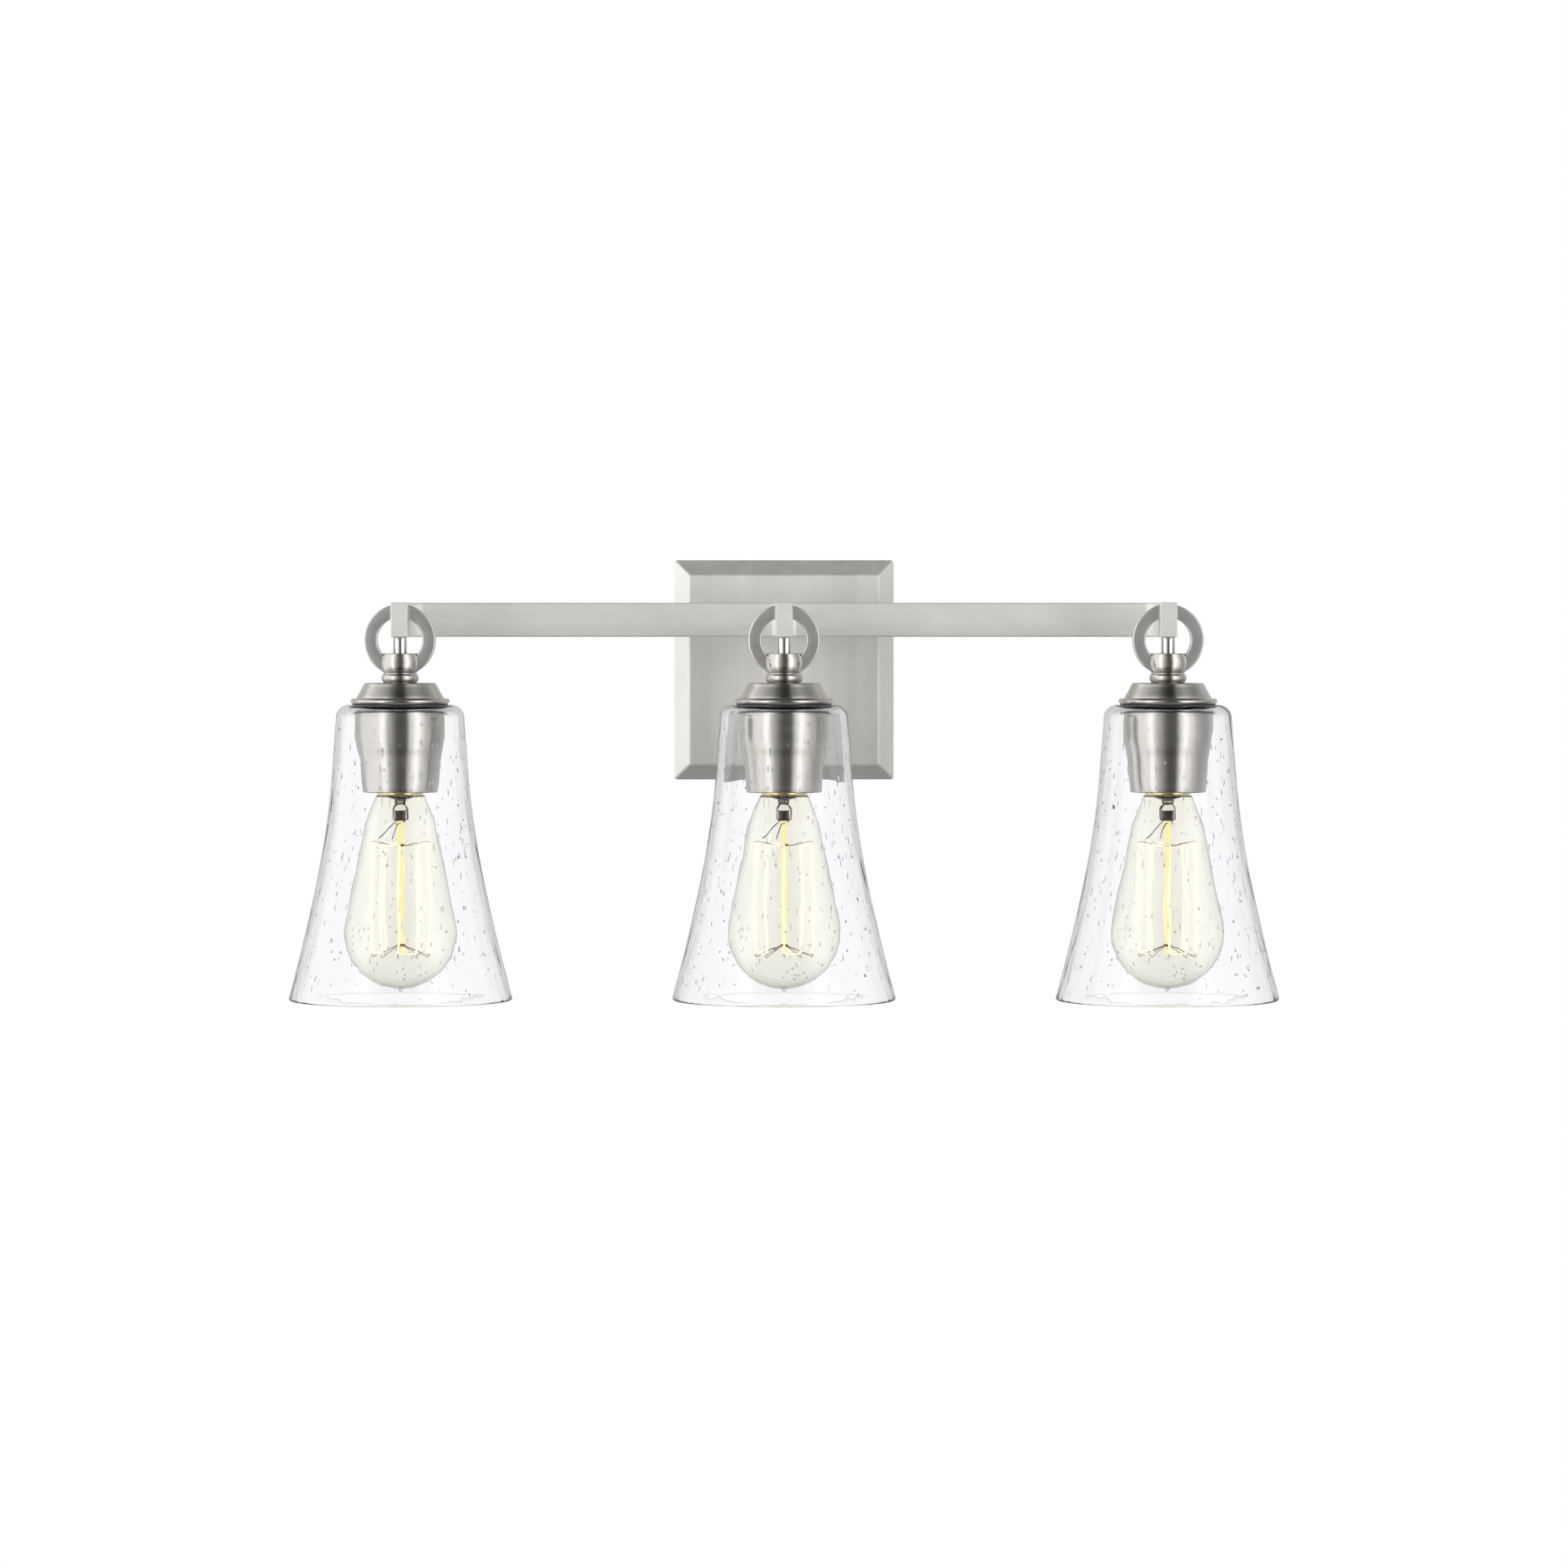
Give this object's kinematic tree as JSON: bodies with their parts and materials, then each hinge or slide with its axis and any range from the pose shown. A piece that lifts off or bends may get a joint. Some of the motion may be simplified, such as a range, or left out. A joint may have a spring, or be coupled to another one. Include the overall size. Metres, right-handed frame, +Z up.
{
  "type": "vanity light bar",
  "caption": "Wall vanity light: square bevelled plate, flat bar with arms bent forward, and hanging bell shades of seeded glass on metal rings over tapered husks and screw-in filament bulbs.",
  "frame": {"origin": "centre of the mounting strap's back face, on the wall plane, which is the centre of the wall plate seen from the front", "axes": "+Z up, +X along the bar to the right seen from the room, +Y out of the row's back into the wall, so the lamps are towards -Y"},
  "size_m": [0.5592, 0.1651, 0.2493],
  "materials": {
    "satin_nickel": "satin brushed nickel plate",
    "polished_nickel": "polished nickel plate",
    "zinc_steel": "zinc plated steel",
    "green_steel": "green passivated steel",
    "brass": "bright brass",
    "solder": "dull solder",
    "copper": "bare copper",
    "porcelain": "glazed white ceramic",
    "gasket_rubber": "matt",
    "lead_insulation": "black and white wire insulation",
    "connector_plastic": "moulded plastic",
    "shade_glass": "clear glass with seed bubbles",
    "bulb_glass": "clear glass with a pale amber tint",
    "stem_glass": "clear glass",
    "filament_wire": "glowing filament and support wire"
  },
  "bodies": {
    "fixture": {"backplate": "satin_nickel", "light_bar_left": "satin_nickel", "light_bar_right": "satin_nickel", "centre_arm": "satin_nickel", "arm_end_caps": "satin_nickel", "crossbar": "zinc_steel", "plate_screws": "satin_nickel", "ground_screw": "green_steel", "foot_screws": "zinc_steel", "stem_nuts": "zinc_steel", "socket_nipples": "zinc_steel", "shade_gaskets": "gasket_rubber", "lamp_leads": "lead_insulation", "wire_connectors": "connector_plastic", "ground_wire": "copper", "ring_left": "satin_nickel", "stem_left": "polished_nickel", "neck_left": "satin_nickel", "cap_left": "satin_nickel", "socket_collar_left": "zinc_steel", "socket_body_left": "porcelain", "socket_liner_left": "brass", "socket_contact_left": "brass", "ring_centre": "satin_nickel", "stem_centre": "polished_nickel", "neck_centre": "satin_nickel", "cap_centre": "satin_nickel", "socket_collar_centre": "zinc_steel", "socket_body_centre": "porcelain", "socket_liner_centre": "brass", "socket_contact_centre": "brass", "ring_right": "satin_nickel", "stem_right": "polished_nickel", "neck_right": "satin_nickel", "cap_right": "satin_nickel", "socket_collar_right": "zinc_steel", "socket_body_right": "porcelain", "socket_liner_right": "brass", "socket_contact_right": "brass"},
    "shade_left": {"shade_left": "shade_glass"},
    "husk_left": {"husk_left": "satin_nickel"},
    "bulb_tip_left": {"bulb_tip_left": "solder"},
    "bulb_left": {"bulb_base_left": "brass", "bulb_glass_left": "bulb_glass", "bulb_stem_left": "stem_glass", "bulb_filament_left": "filament_wire"},
    "shade_centre": {"shade_centre": "shade_glass"},
    "husk_centre": {"husk_centre": "satin_nickel"},
    "bulb_tip_centre": {"bulb_tip_centre": "solder"},
    "bulb_centre": {"bulb_base_centre": "brass", "bulb_glass_centre": "bulb_glass", "bulb_stem_centre": "stem_glass", "bulb_filament_centre": "filament_wire"},
    "shade_right": {"shade_right": "shade_glass"},
    "husk_right": {"husk_right": "satin_nickel"},
    "bulb_tip_right": {"bulb_tip_right": "solder"},
    "bulb_right": {"bulb_base_right": "brass", "bulb_glass_right": "bulb_glass", "bulb_stem_right": "stem_glass", "bulb_filament_right": "filament_wire"}
  },
  "joints": [
    {"name": "shade_left_lower", "type": "slide", "parent": "fixture", "child": "shade_left", "axis": [0, 0, -1], "range_m": [0, 0.0075]},
    {"name": "husk_left_unscrew", "type": "hinge", "parent": "shade_left", "child": "husk_left", "pos_m": [-0.2165, -0.102, -0.045], "axis": [0, 0, -1], "range_deg": [0, 1800]},
    {"name": "bulb_left_lower", "type": "slide", "parent": "fixture", "child": "bulb_tip_left", "axis": [0, 0, -1], "range_m": [0, 0.0127]},
    {"name": "bulb_left_unscrew", "type": "hinge", "parent": "bulb_tip_left", "child": "bulb_left", "pos_m": [-0.2165, -0.102, -0.09], "axis": [0, 0, -1], "range_deg": [0, 1260]},
    {"name": "shade_centre_lower", "type": "slide", "parent": "fixture", "child": "shade_centre", "axis": [0, 0, -1], "range_m": [0, 0.0075]},
    {"name": "husk_centre_unscrew", "type": "hinge", "parent": "shade_centre", "child": "husk_centre", "pos_m": [0, -0.102, -0.045], "axis": [0, 0, -1], "range_deg": [0, 1800]},
    {"name": "bulb_centre_lower", "type": "slide", "parent": "fixture", "child": "bulb_tip_centre", "axis": [0, 0, -1], "range_m": [0, 0.0127]},
    {"name": "bulb_centre_unscrew", "type": "hinge", "parent": "bulb_tip_centre", "child": "bulb_centre", "pos_m": [0, -0.102, -0.09], "axis": [0, 0, -1], "range_deg": [0, 1260]},
    {"name": "shade_right_lower", "type": "slide", "parent": "fixture", "child": "shade_right", "axis": [0, 0, -1], "range_m": [0, 0.0075]},
    {"name": "husk_right_unscrew", "type": "hinge", "parent": "shade_right", "child": "husk_right", "pos_m": [0.2165, -0.102, -0.045], "axis": [0, 0, -1], "range_deg": [0, 1800]},
    {"name": "bulb_right_lower", "type": "slide", "parent": "fixture", "child": "bulb_tip_right", "axis": [0, 0, -1], "range_m": [0, 0.0127]},
    {"name": "bulb_right_unscrew", "type": "hinge", "parent": "bulb_tip_right", "child": "bulb_right", "pos_m": [0.2165, -0.102, -0.09], "axis": [0, 0, -1], "range_deg": [0, 1260]}
  ],
  "couplings": [
    {"joint": "husk_left_unscrew", "follows": "shade_left_lower", "rad_per_m": 4188.8},
    {"joint": "bulb_left_unscrew", "follows": "bulb_left_lower", "rad_per_m": 1731.6},
    {"joint": "husk_centre_unscrew", "follows": "shade_centre_lower", "rad_per_m": 4188.8},
    {"joint": "bulb_centre_unscrew", "follows": "bulb_centre_lower", "rad_per_m": 1731.6},
    {"joint": "husk_right_unscrew", "follows": "shade_right_lower", "rad_per_m": 4188.8},
    {"joint": "bulb_right_unscrew", "follows": "bulb_right_lower", "rad_per_m": 1731.6}
  ]
}
